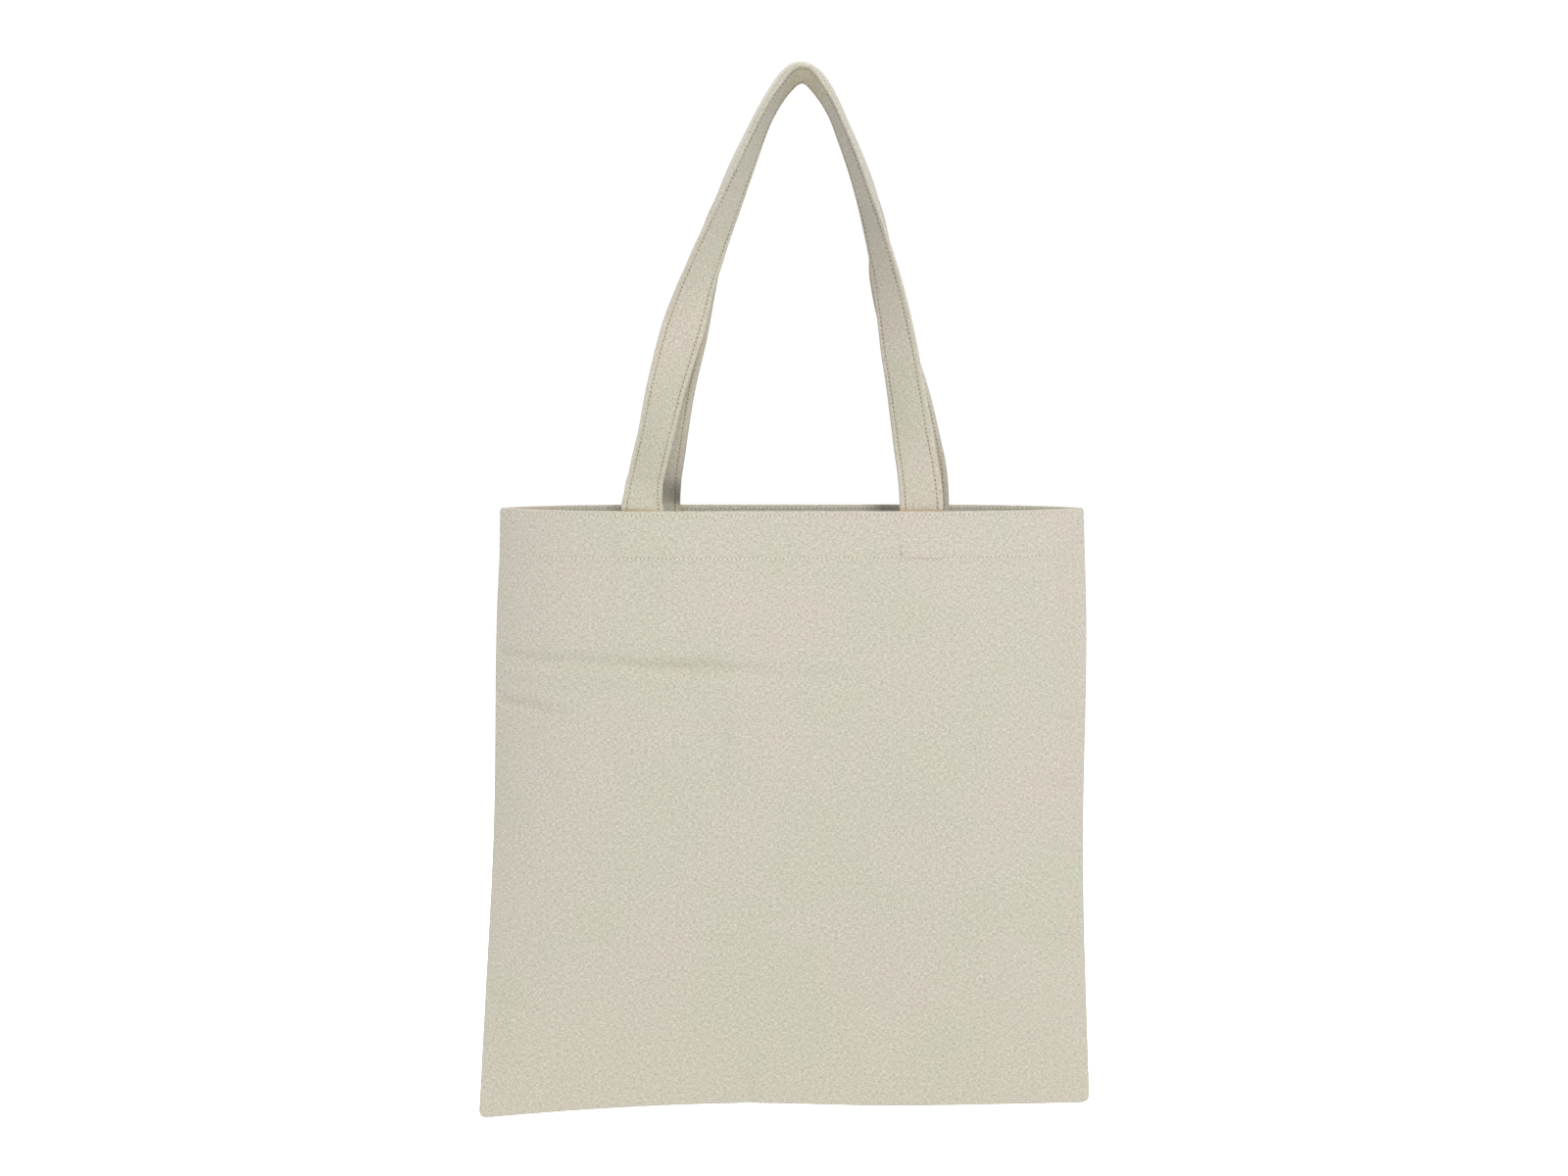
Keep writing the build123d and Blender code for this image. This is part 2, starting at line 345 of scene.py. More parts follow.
def panel_rows():
    """Down a panel's cloth, from the raw edge inside the hem to the raw edge of the bottom allowance: height,
    how far under the outer ply, angle round the bottom seam, and which stretch it is (0 inside the hem,
    1 outside, 2 seam, 3 allowance)."""
    bend = CLOTH / 2
    low, high, base = HEM_Z + bend, RIM_Z - RIM_TURN, BASE_Z + BASE_TURN
    rows = [(z, CLOTH, 0, 0) for z in np.linspace(HEM_Z + HEM_TURN_IN, low, 4)]
    rows += [(low - bend * math.sin(a), 3 * bend - bend * math.cos(a), 0, 0) for a in turn(4)]
    rows += [(z, 2 * CLOTH, 0, 0) for z in np.linspace(low, high, 30)]
    rows += [(high + CLOTH * math.sin(a), CLOTH + CLOTH * math.cos(a), 0, 0) for a in turn(7)]
    rows += [(z, 0, 0, 1) for z in np.linspace(high, HEM_Z - 4, 52)[:-1]]
    rows += [(z, 0, 0, 1) for z in np.linspace(HEM_Z - 4, base, 172)]
    rows += [(base - BEAD * math.sin(a), 0, a, 2) for a in turn(6)]
    rows += [(z, 0, math.pi, 3) for z in np.linspace(base, BASE_Z + SEAM_ALLOWANCE, 6)]
    return np.array(rows).T


def panel_columns():
    """Across a panel's cloth: place across the panel from -1 to 1, how far into the allowance, and angle
    round the side seam."""
    ramp = [(0, s, math.pi) for s in np.linspace(0, SEAM_ALLOWANCE, 6)]
    bend = [(0, 0, a) for a in turn(6)]
    left = [(-1, s, a) for _, s, a in ramp[::-1] + bend[::-1]]
    right = [(1, s, a) for _, s, a in bend + ramp]
    middle = [(math.copysign(1 - (1 - abs(t)) ** 1.12, t), 0, 0) for t in np.linspace(-1, 1, 201)]
    return np.array(left + middle + right).T


def make_panel(side):
    """The grid of one panel's middle surface, with its hem and its seam allowances folded in."""
    z, under, base_angle, stretch = (row[:, None] for row in panel_rows())
    u, inset, side_angle = (column[None, :] for column in panel_columns())
    plain_z = np.where(stretch >= 2, BASE_Z + BASE_TURN, z)
    reach = half_width(plain_z) - BEAD
    x = centre_x(plain_z) + u * reach
    depth = depth_at(side, x, plain_z)
    inner = depth - under
    inner = np.where(under > 0, np.maximum(inner, INNER_GAP), inner)
    angle = np.maximum(base_angle, side_angle)
    y = inner - BEAD * (1 - np.cos(angle)) * np.ones_like(x)
    x = x + np.sign(u) * (BEAD * np.sin(side_angle) - inset)
    grid = sway(np.stack([x, y, z * np.ones_like(x)], -1))
    grid[..., 1] *= SIGN[side]
    outside = (stretch[:-1] >= 1) & (stretch[1:] <= 2)
    at_seam = (side_angle[:, :-1] > 0) | (side_angle[:, 1:] > 0)
    at_flap = (side_angle[:, :-1] >= math.pi) | (side_angle[:, 1:] >= math.pi)
    keep = np.ones((grid.shape[0] - 1, grid.shape[1] - 1), bool)
    keep &= ~(at_seam & ~outside)
    keep &= ~(at_flap & (stretch[1:] >= 2))
    if side == "front":
        grid, keep = grid[:, ::-1], keep[:, ::-1]
    step_u = np.linalg.norm(np.diff(grid[FLAT_ROW], axis=0), axis=1)
    step_v = np.linalg.norm(np.diff(grid[:, FLAT_COLUMN], axis=0), axis=1)
    across, down = np.append(0, np.cumsum(step_u)), np.append(0, np.cumsum(step_v))
    flat = np.stack(np.broadcast_arrays(across[None, :], -down[:, None]), -1).reshape(-1, 2)
    return grid, keep, np.concatenate([flat, flat])


def make_capsules(name, starts, ends, normals, material, radius=THREAD_RADIUS, rise=0.16):
    """Short arched lengths of thread, each from a start to an end and proud along its normal between."""
    starts, ends, normals = (np.asarray(v, float) for v in (starts, ends, normals))
    along = ends - starts
    length = np.linalg.norm(along, axis=1, keepdims=True)
    along = along / length
    side = np.cross(normals, along)
    side /= np.linalg.norm(side, axis=1, keepdims=True)
    up = np.cross(along, side)
    places, widths = RING_PLACES, RING_WIDTHS * radius
    heights = (4 * places * (1 - places)) ** 0.6 * rise - THREAD_SINK
    angles = np.arange(RING_SIDES) * math.pi / 3
    ring = np.stack([np.cos(angles), np.sin(angles)], -1)
    run = (along * length)[:, None] * places[None, :, None]
    centre = starts[:, None] + run + up[:, None] * heights[None, :, None]
    round_side = side[:, None, None] * (widths[:, None] * ring[None, :, 0])[None, ..., None]
    round_up = up[:, None, None] * (widths[:, None] * ring[None, :, 1])[None, ..., None]
    points = (centre[:, :, None] + round_side + round_up).reshape(-1, 3)
    index = np.arange(len(places) * RING_SIDES).reshape(len(places), RING_SIDES)
    quads = []
    for here, above in zip(index[:-1], index[1:]):
        quads += zip(here, np.roll(here, -1), np.roll(above, -1), above)
    last = index[-1]
    quads += [(3, 2, 1, 0), (5, 4, 3, 0), last[[0, 1, 2, 3]], last[[0, 3, 4, 5]]]
    quads = (np.array(quads)[None] + np.arange(len(starts))[:, None, None] * index.size).reshape(-1, 4)
    flat = np.stack([np.repeat(places * 2, RING_SIDES), np.tile(angles * 0.1, len(places))], -1)
    uv = np.tile(flat, (len(starts), 1))
    # Each length of thread starts at a place of its own in the pattern
    uv[:, 0] += np.repeat(np.arange(len(starts)) * 3.7, index.size)
    return mesh_object(name, points, quads, uv, material)


def make_hole_shades(name, starts, ends, normals, material, radius):
    """Painted shade: small dark lengths laid where the thread goes down between one stitch and the next,
    standing for the shade in the needle holes.
    """
    along = ends - starts
    along /= np.linalg.norm(along, axis=1, keepdims=True)
    gap = STITCH_PITCH - STITCH_LENGTH
    lap = 0.05
    near, far = ends - along * lap, ends + along * (gap + lap)
    return make_capsules(name, near, far, normals, material, radius, rise=0.12)


# ---------------------------------------------------------------- handles

def handle_line(side):
    """A handle's centre line, sewn ends included, with the ways it spreads and faces at each point."""
    path, sign = PATH[side], SIGN[side]
    points = np.array([point[:3] for point in path], float)
    slopes = points[2:] - points[:-2]
    slopes /= np.linalg.norm(slopes, axis=1, keepdims=True)
    slopes = np.concatenate([[(0, 0, 1)], slopes, [(0, 0, -1)]])
    centres, twists = [], []
    for i in range(len(path) - 1):
        third = np.linalg.norm(points[i + 1] - points[i]) / 3
        a, d = points[i], points[i + 1]
        b, c = a + slopes[i] * third, d - slopes[i + 1] * third
        count = math.ceil(3 * third / PATH_STEP)
        t = (np.arange(count) / count)[:, None]
        centres.append((1 - t) ** 3 * a + 3 * t * (1 - t) ** 2 * b + 3 * t * t * (1 - t) * c + t**3 * d)
        twists.append(path[i][3] + (path[i + 1][3] - path[i][3]) * t[:, 0])
    share = np.arange(1, SEWN_STEPS + 1)[:, None] / SEWN_STEPS
    first, last = (share * (0, 0, end[2] - RIM_Z + SEWN_LENGTH) for end in (path[0], path[-1]))
    centre = np.concatenate([(points[0] - first)[::-1], *centres, points[-1:], points[-1] - last])
    twist = np.concatenate([np.full(SEWN_STEPS, path[0][3]), *twists, np.full(SEWN_STEPS + 1, path[-1][3])])
    kernel = np.hanning(9) / np.hanning(9).sum()
    twist = np.radians(np.convolve(np.pad(twist, 4, mode="edge"), kernel, mode="valid"))[:, None]
    along = np.gradient(centre, axis=0)
    along /= np.linalg.norm(along, axis=1, keepdims=True)
    flat = np.stack([-along[:, 2], np.zeros(len(along)), along[:, 0]], -1)
    flat /= np.linalg.norm(flat, axis=1, keepdims=True)
    across = flat * np.cos(twist) + np.array([[0, sign, 0]]) * np.sin(twist)
    across -= along * np.sum(across * along, axis=1, keepdims=True)
    across /= np.linalg.norm(across, axis=1, keepdims=True)
    return centre, across, np.cross(along, across)


def cup_at(side, centre):
    """How far the middle of the handle stands proud of its edges."""
    half = len(centre) // 2
    left = along_list(CUP[side], centre[:half, 2], 1)
    right = along_list(CUP[side], centre[half:, 2], 2)
    cup = np.concatenate([left, right])
    return np.convolve(np.pad(cup, 6, mode="edge"), np.ones(13) / 13, mode="valid")


def bow(cup, s):
    """Where a place across the handle stands along the face direction."""
    return cup * (1 / 3 - (s / STRAP_HALF_WIDTH) ** 2)


def strap_section():
    """A handle's section, and how many points one face has: two faces with their stitched grooves, a folded
    edge, and an edge with the slit where the plies meet."""
    row = STRAP_HALF_WIDTH - EDGE_ROW_INSET
    flat = STRAP_HALF_WIDTH - STRAP_EDGE_ROUND
    places = np.array([0, 2.4, 4.8, 7, 8.3, 8.9, 9.3, 9.5, 9.7, 10.1, 10.7, 11.4, flat])
    places = np.concatenate([-places[:0:-1], places])
    groove = 0.26 * np.exp(-(((np.abs(places) - row) / 0.42) ** 2))
    rise = STRAP_HALF_THICKNESS - groove
    rise = rise + 0.05 * np.cos(places / row * math.pi / 2) - 0.06 * smooth(np.abs(places) - 11)
    tips = np.radians([55, 25, 0, -25, -55])
    edge = np.stack([flat + STRAP_EDGE_ROUND * np.cos(tips), 1.02 * np.sin(tips)], -1)
    slit = -edge
    slit[2, 0] = -12.45
    faces = np.stack([places, rise], -1), np.stack([places, -rise], -1)[::-1]
    return np.concatenate([faces[0], edge, faces[1], slit]), len(places)


def strap_cap(ring, count, way):
    """The quads that close one end of a handle: between its faces, and at its folded edge and its slit."""
    tip = (len(ring) - 2 * count) // 2
    top, low = ring[:count], ring[count + tip:2 * count + tip][::-1]
    edge, slit = ring[count:count + tip], ring[2 * count + tip:][::-1]
    quads = [np.stack([top[:-1], top[1:], low[1:], low[:-1]], -1)[:, ::way]]
    for end, a, b, turned in ((edge, top[-1], low[-1], way), (slit, top[0], low[0], -way)):
        quads.append(np.array([(a, end[0], end[4], b), (end[0], end[1], end[3], end[4])])[:, ::turned])
    return np.concatenate(quads)


def make_strap(side, material):
    """One handle from sewn end to sewn end, a little uneven along its edges and puckered at its stitches."""
    centre, across, face = handle_line(side)
    row = STRAP_HALF_WIDTH - EDGE_ROW_INSET
    section, count = strap_section()
    rings, sides = len(centre), len(section)
    length = np.append(0, np.cumsum(np.linalg.norm(np.diff(centre, axis=0), axis=1)))
    s, n = section[None, :, 0], section[None, :, 1]
    wobble = 0.16 * np.sin(length / 9 + 1.3 * np.sin(length / 31))[:, None]
    wobble = wobble * np.sign(s) * smooth((np.abs(s) - 8) / 4)
    pucker = 0.05 * np.sin(length * 2 * math.pi / STITCH_PITCH)[:, None]
    pucker = pucker * np.exp(-(((np.abs(s) - row) / 1.2) ** 2))
    wave = 0.10 * np.sin(length / 13 + SEED[side])[:, None] * np.cos(s / 6)
    wave = wave + 0.07 * np.sin(length / 5.5)[:, None]
    lift = n + bow(cup_at(side, centre)[:, None], s) + wave - pucker * np.sign(n)
    points = centre[:, None] + across[:, None] * (s + wobble)[..., None] + face[:, None] * lift[..., None]
    index = np.arange(rings * sides).reshape(rings, sides)
    here, beside = index[:-1], np.roll(index[:-1], -1, axis=1)
    above, above_beside = index[1:], np.roll(index[1:], -1, axis=1)
    quads = np.stack([here, above, above_beside, beside], -1).reshape(-1, 4)
    quads = np.concatenate([quads, strap_cap(index[0], count, 1), strap_cap(index[-1], count, -1)])
    girth = np.append(0, np.cumsum(np.linalg.norm(np.diff(section, axis=0), axis=1)))
    uv = np.stack(np.broadcast_arrays(girth[None, :], length[:, None]), -1).reshape(-1, 2)
    return mesh_object(f"{side}_strap", points.reshape(-1, 3), quads, uv, material)


def strap_stitches(side, material):
    """The stitches along both edges of a handle, on both its faces, and the painted shade in their needle
    holes.
    """
    centre, across, face = handle_line(side)
    length = np.append(0, np.cumsum(np.linalg.norm(np.diff(centre, axis=0), axis=1)))
    cup = cup_at(side, centre)
    row = STRAP_HALF_WIDTH - EDGE_ROW_INSET
    face_height = STRAP_HALF_THICKNESS - 0.06

    def read(values, distance):
        return np.stack([np.interp(distance, length, values[:, i]) for i in range(3)], -1)

    def place(distance, s, out):
        front = read(face, distance)
        lift = out * face_height + bow(np.interp(distance, length, cup), s)
        return read(centre, distance) + read(across, distance) * s + front * lift[:, None], front * out

    starts, ends, normals = [], [], []
    for s in (-row, row):
        for out, offset in ((-1, STITCH_PITCH / 2), (1, 0.0)):
            first = np.arange(1.0, length[-1] - STITCH_LENGTH, STITCH_PITCH) + offset
            first = first[first < length[-1] - STITCH_LENGTH]
            start, normal = place(first, s, out)
            starts.append(start)
            ends.append(place(first + STITCH_LENGTH, s, out)[0])
            normals.append(normal)
    joined = [np.concatenate(v) for v in (starts, ends, normals)]
    stitches = make_capsules(f"{side}_strap_stitches", *joined, material)
    return stitches, make_hole_shades(f"{side}_strap_holes", *joined, HOLE_SHADE, STRAP_HOLE_RADIUS)


# ---------------------------------------------------------------- thread on the bag

def row_places(side, z, x_from, x_to):
    """Where stitches start and end across a hem, evenly spaced along the curved cloth."""
    x = np.linspace(x_from, x_to, 1200)
    z = np.full_like(x, z)
    run = np.append(0, np.cumsum(np.hypot(np.diff(x), np.diff(depth_at(side, x, z)))))
    starts = np.arange(0, run[-1] - STITCH_LENGTH, STITCH_PITCH)
    return np.interp(starts, run, x), np.interp(starts + STITCH_LENGTH, run, x)


def on_cloth(side, x, z, under):
    """Points on the cloth, some way under the middle of its outer ply, and the way it faces."""
    facing = faces_at(side, x, z)
    depth = depth_at(side, x, z) - under
    points = sway(np.stack([x, depth, z], -1))
    points[..., 1] *= SIGN[side]
    return points, facing


def hem_rows(side, z, x_from, x_to):
    """The stitches of one row between two places, on the outside and on the inside of the hem."""
    first, last = row_places(side, z, x_from, x_to)
    starts, ends, normals = [], [], []
    for inside in (False, True):
        under = np.full_like(first, -PLY / 2)
        if inside:
            over = np.zeros_like(first)
            for end in (PATH[side][0], PATH[side][-1]):
                over = np.maximum(over, np.abs((first + last) / 2 - end[0]) < STRAP_HALF_WIDTH - 0.3)
            under = 2 * CLOTH + PLY / 2 + over * 2 * STRAP_HALF_THICKNESS
        uneven = 0.12 * np.sin(first * 0.9) + 0.5 * np.sin(first / 61)
        start, facing = on_cloth(side, first, z + uneven, under)
        end, _ = on_cloth(side, last, z + uneven, under)
        starts.append(start)
        ends.append(end)
        normals.append(-facing if inside else facing)
    return [np.concatenate(v) for v in (starts, ends, normals)]


def rows_object(name, side, x_from, x_to, material, z):
    """One row's stitches and the painted shade in their needle holes."""
    rows = hem_rows(side, z, x_from, x_to)
    return make_capsules(name, *rows, material), make_hole_shades(f"{name}_holes", *rows, HOLE_SHADE, HEM_HOLE_RADIUS)


def make_tacks(side, material):
    """Back tacks: stitches sewn over each other at each handle's inner edge, and a run beside the hem row."""
    starts, ends, normals = [], [], []
    low = RIM_Z - HEM_ROW_DROP + 0.6
    for end, hand in ((PATH[side][0], 1), (PATH[side][-1], -1)):
        for shift, z_from, length in ((0.0, 0.0, TACK_LENGTH), (0.4, 1.1, TACK_LENGTH - 3)):
            z = low + z_from + np.arange(0, length - STITCH_LENGTH, STITCH_PITCH)
            x = np.full_like(z, end[0] + hand * STRAP_HALF_WIDTH + shift)
            start, facing = on_cloth(side, x, z, -PLY / 2)
            finish, _ = on_cloth(side, x + 0.1, z + STITCH_LENGTH, -PLY / 2)
            starts.append(start)
            ends.append(finish)
            normals.append(facing)
    x = np.arange(66.0, 84.0, STITCH_PITCH) if side == "front" else np.arange(-82.0, -70.0, STITCH_PITCH)
    z = np.full_like(x, RIM_Z - HEM_ROW_DROP - 0.35)
    start, facing = on_cloth(side, x, z, -PLY / 2 - 0.05)
    finish, _ = on_cloth(side, x + 1.1, z + 0.2, -PLY / 2 - 0.05)
    starts.append(start)
    ends.append(finish)
    normals.append(facing)
    joined = (np.concatenate(v) for v in (starts, ends, normals))
    return make_capsules(f"{side}_tacks", *joined, material, radius=TACK_THREAD_RADIUS)


def edge_loops(place, inward):
    """Thread along a raw edge: bars across each face, a slant from bar to bar, and a turn over the edge."""
    inward = np.zeros_like(place) + inward
    half = (0, EDGE_HALF_THICKNESS, 0)
    starts, ends, normals = [place + half], [place - half], [-inward]
    for out in (-1, 1):
        face = np.zeros_like(place) + (0, out, 0)
        near = place + face * EDGE_HALF_THICKNESS
        far = place + inward * OVERLOCK_WIDTH + face * EDGE_HALF_THICKNESS
        starts += [far, near[:-1]]
        ends += [near, far[1:]]
        normals += [face, face[:-1]]
    return [np.concatenate(v) for v in (starts, ends, normals)]


def make_overlock(material):
    """Loops of thread over the raw edges of both side allowances and the bottom one."""
    runs = []
    for hand in (-1, 1):
        z = np.arange(BASE_Z + SEAM_ALLOWANCE + 1, RIM_Z - 1, OVERLOCK_PITCH)
        x = centre_x(z) + hand * (half_width(z) - SEAM_ALLOWANCE)
        runs.append(edge_loops(sway(np.stack([x, np.zeros_like(z), z], -1)), (hand, 0, 0)))
    reach = BASE_HALF_WIDTH - SEAM_ALLOWANCE - 1
    x = np.arange(BASE_CENTRE_X - reach, BASE_CENTRE_X + reach, OVERLOCK_PITCH)
    z = np.full_like(x, BASE_Z + SEAM_ALLOWANCE)
    runs.append(edge_loops(sway(np.stack([x, np.zeros_like(x), z], -1)), (0, 0, -1)))
    joined = (np.concatenate(v) for v in zip(*runs))
    return make_capsules("overlock", *joined, material, radius=OVERLOCK_RADIUS, rise=0.1)


# ---------------------------------------------------------------- materials

class Shader:
    """A short way to wire a material's nodes."""

    def __init__(self, name, slot):
        self.material = bpy.data.materials.new(name)
        self.material["slot"] = slot
        self.material.use_nodes = True
        self.nodes = self.material.node_tree.nodes
        self.links = self.material.node_tree.links
        self.surface = self.nodes["Principled BSDF"]

    def add(self, kind, inputs=(), **settings):
        """A node; an input is a value for the socket itself or another node's output to link."""
        node = self.nodes.new(kind)
        for key, value in settings.items():
            setattr(node, key, value)
        for key, value in dict(inputs).items():
            if isinstance(value, bpy.types.NodeSocket):
                self.links.new(value, node.inputs[key])
            else:
                node.inputs[key].default_value = value
        return node

    def math(self, operation, a, b=None):
        """One step of arithmetic on one or two values."""
        inputs = {0: a} if b is None else {0: a, 1: b}
        return self.add("ShaderNodeMath", inputs, operation=operation).outputs[0]

    def noise(self, vector, scale, detail=2.0):
        """Smooth noise from 0 to 1."""
        inputs = {"Vector": vector, "Scale": scale, "Detail": detail, "Roughness": 0.5}
        return self.add("ShaderNodeTexNoise", inputs, noise_dimensions="3D").outputs["Fac"]

    def ramp(self, value, low, high, to_low, to_high):
        """A value taken from one range to another, and held at its ends."""
        inputs = {"Value": value, "From Min": low, "From Max": high, "To Min": to_low, "To Max": to_high}
        return self.add("ShaderNodeMapRange", inputs).outputs["Result"]

    def mix(self, share, a, b, blend="MIX"):
        """Colour a with a share of colour b laid over it."""
        node = self.add("ShaderNodeMix", data_type="RGBA", blend_type=blend)
        for socket, value in ((node.inputs[0], share), (node.inputs[6], a), (node.inputs[7], b)):
            if isinstance(value, bpy.types.NodeSocket):
                self.links.new(value, socket)
            else:
                socket.default_value = value
        return node.outputs[2]


def weave_height(shader, uv, pitch):
    """The bumps of a plain weave: each thread passes over one and under the next."""
    split = shader.add("ShaderNodeSeparateXYZ", {"Vector": uv})
    drift = shader.noise(uv, 130.0, 3.0)
    drift = shader.math("MULTIPLY", drift, 2.2)
    u = shader.math("ADD", shader.math("MULTIPLY", split.outputs[0], math.pi / pitch), drift)
    v = shader.math("ADD", shader.math("MULTIPLY", split.outputs[1], math.pi / (pitch * 0.93)), drift)
    warp, weft = shader.math("SINE", u), shader.math("SINE", v)
    over = shader.ramp(shader.math("MULTIPLY", warp, weft), -0.25, 0.25, 0.0, 1.0)
    warp_up = shader.math("ABSOLUTE", warp)
    weft_up = shader.math("ABSOLUTE", weft)
    a = shader.math("MULTIPLY", warp_up, over)
    b = shader.math("MULTIPLY", weft_up, shader.math("SUBTRACT", 1.0, over))
    return shader.math("ADD", a, b)


def canvas_material(name, slot, pitch, tones, painted_shade_reach):
    """Unbleached plain-weave canvas: a fine weave, slubs, specks of seed, slow drifts of tint, painted
    brownish shade in hollows and between parts, and painted shade in the dips of the weave."""
    base, rosy, olive = tones
    shader = Shader(name, slot)
    uv = shader.add("ShaderNodeTexCoord").outputs["UV"]
    place = shader.add("ShaderNodeTexCoord").outputs["Object"]
    height = weave_height(shader, uv, pitch)
    threads = []
    for scale in ((480.0, 1700.0, 1.0), (1700.0, 480.0, 1.0)):
        run = shader.add("ShaderNodeMapping", {"Vector": uv, "Scale": scale}).outputs[0]
        threads.append(shader.noise(run, 1.0, 1.0))
    thread_tone = shader.ramp(shader.math("ADD", *threads), 0.70, 1.30, 0.77, 1.23)
    slubs = []
    for scale in ((60.0, 1300.0, 1.0), (1300.0, 60.0, 1.0)):
        run = shader.add("ShaderNodeMapping", {"Vector": uv, "Scale": scale}).outputs[0]
        slubs.append(shader.ramp(shader.noise(run, 1.0, 2.0), 0.56, 0.78, 0.0, 1.0))
    slub = shader.math("ADD", *slubs)
    height = shader.math("ADD", height, shader.math("MULTIPLY", slub, 0.5))
    colour = shader.mix(shader.ramp(shader.noise(place, 15.0, 3.0), 0.38, 0.62, 0.0, 1.0), rosy, olive)
    patch = shader.ramp(shader.noise(place, 45.0, 3.0), 0.35, 0.65, 0.0, 1.0)
    colour = shader.mix(shader.math("MULTIPLY", patch, 0.5), colour, base)
    up = shader.add("ShaderNodeSeparateXYZ", {"Vector": place}).outputs[2]
    low = shader.ramp(up, -0.46, -0.64, 0.0, 0.6)
    colour = shader.mix(low, colour, (base[0] * 1.03, base[1], base[2] * 0.94, 1))
    # Painted shade: where other cloth is near, between the handles and inside the mouth, the colour is
    # darkened and turned brownish as shade and bounced light would do
    hollow = shader.add("ShaderNodeAmbientOcclusion", {"Distance": painted_shade_reach}, samples=6).outputs["AO"]
    painted_warm_shade = shader.mix(shader.ramp(hollow, 0.25, 0.90, 0.0, 1.0), (1.22, 0.98, 0.66, 1), (1, 1, 1, 1))
    colour = shader.mix(1.0, colour, painted_warm_shade, "MULTIPLY")
    # Painted shade and highlight: each thread's own tone, made darker in the dips of the weave and a little
    # lighter on its high points
    lit = shader.math("MULTIPLY", thread_tone, shader.ramp(height, 0.0, 1.1, 0.90, 1.04))
    tone = shader.add("ShaderNodeCombineColor", {0: lit, 1: lit, 2: lit}).outputs[0]
    colour = shader.mix(1.0, colour, tone, "MULTIPLY")
    cell = shader.add("ShaderNodeTexVoronoi", {"Vector": uv, "Scale": 90.0, "Randomness": 1.0})
    fleck = shader.ramp(cell.outputs["Distance"], 0.030, 0.055, 0.5, 0.0)
    rare = shader.ramp(shader.noise(uv, 37.0, 1.0), 0.56, 0.60, 0.0, 1.0)
    colour = shader.mix(shader.math("MULTIPLY", fleck, rare), colour, (0.13, 0.09, 0.045, 1))
    bump = shader.add("ShaderNodeBump", {"Height": height, "Strength": 0.45, "Distance": 0.00013})
    shader.links.new(colour, shader.surface.inputs["Base Color"])
    shader.links.new(bump.outputs[0], shader.surface.inputs["Normal"])
    shader.surface.inputs["Roughness"].default_value = 0.92
    shader.surface.inputs["Specular IOR Level"].default_value = 0.18
    shader.surface.inputs["Sheen Weight"].default_value = 0.12
    shader.surface.inputs["Sheen Roughness"].default_value = 0.6
    return shader.material


def thread_material(name, slot, colour, dark):
    """Twisted cotton thread, its plies a little uneven in tint."""
    shader = Shader(name, slot)
    uv = shader.add("ShaderNodeTexCoord").outputs["UV"]
    slant = {"Vector": uv, "Scale": (2600.0, 2600.0, 1.0), "Rotation": (0.0, 0.0, 0.6)}
    twist = shader.add("ShaderNodeMapping", slant)
    waves = shader.add("ShaderNodeTexWave", {"Vector": twist.outputs[0], "Scale": 0.4, "Distortion": 0.6})
    shade = shader.mix(shader.ramp(shader.noise(uv, 260.0), 0.35, 0.65, 0.0, 1.0), colour, dark)
    shader.links.new(shade, shader.surface.inputs["Base Color"])
    ply = {"Height": waves.outputs["Fac"], "Strength": 0.4, "Distance": 0.00005}
    bump = shader.add("ShaderNodeBump", ply)
    shader.links.new(bump.outputs[0], shader.surface.inputs["Normal"])
    shader.surface.inputs["Roughness"].default_value = 0.75
    shader.surface.inputs["Specular IOR Level"].default_value = 0.3
    return shader.material


# Each canvas's plain, rosy and olive tones
BODY_TONES = ((0.306, 0.292, 0.247, 1), (0.316, 0.290, 0.249, 1), (0.298, 0.292, 0.236, 1))
STRAP_TONES = ((0.302, 0.285, 0.237, 1), (0.310, 0.282, 0.237, 1), (0.294, 0.285, 0.228, 1))
CANVAS = canvas_material("canvas", "canvas", 0.00065, BODY_TONES, 0.035)
WEBBING = canvas_material("strap_canvas", "strap_canvas", 0.00060, STRAP_TONES, 0.030)
THREAD = thread_material("thread", "thread", (0.50, 0.47, 0.40, 1), (0.41, 0.38, 0.31, 1))
STRAP_THREAD = thread_material("strap_thread", "thread", (0.35, 0.32, 0.26, 1), (0.28, 0.25, 0.20, 1))
# Near black thread for the painted shade in the needle holes
HOLE_SHADE = thread_material("needle_holes", "thread", (0.06, 0.05, 0.035, 1), (0.03, 0.025, 0.015, 1))
TACK = thread_material("tack_thread", "tack_thread", (0.25, 0.21, 0.14, 1), (0.16, 0.13, 0.085, 1))
OVERLOCK = thread_material("overlock_thread", "overlock_thread", (0.42, 0.40, 0.34, 1), (0.35, 0.33, 0.27, 1))


# ---------------------------------------------------------------- the bag

# The side seams at the rim
SEAM_X = {"left": RIM_CENTRE_X - RIM_HALF_WIDTH, "right": RIM_CENTRE_X + RIM_HALF_WIDTH}


def lean_out(piece):
    """A piece on one half of the front, with its place baked into its mesh."""
    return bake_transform(piece)


def make_back():
    """The back's cloth, with the seam allowances of both panels."""
    grid, keep, uv = make_panel("back")
    points, quads = cloth_shell(grid, keep)
    cloth = mesh_object("back_canvas", points, quads, uv, CANVAS, point_normals(points, quads))
    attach(cloth, "bag_back")
    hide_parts("back_panel", "side_seam_left", "side_seam_right", "bottom_seam")
    return cloth


def make_front():
    """The front's cloth in two halves that meet at the middle."""
    grid, keep, uv = make_panel("front")
    points, quads = cloth_shell(grid, keep)
    normals = point_normals(points, quads)
    column = np.arange(keep.shape[1])[None, :]
    middle = keep.shape[1] // 2
    halves = {}
    for half, part in (("left", column >= middle), ("right", column < middle)):
        _, quads = cloth_shell(grid, keep, part)
        cloth = mesh_object(f"front_canvas_{half}", points, quads, uv, CANVAS, normals)
        halves[half] = lean_out(cloth)
    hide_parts("front_panel")
    return halves


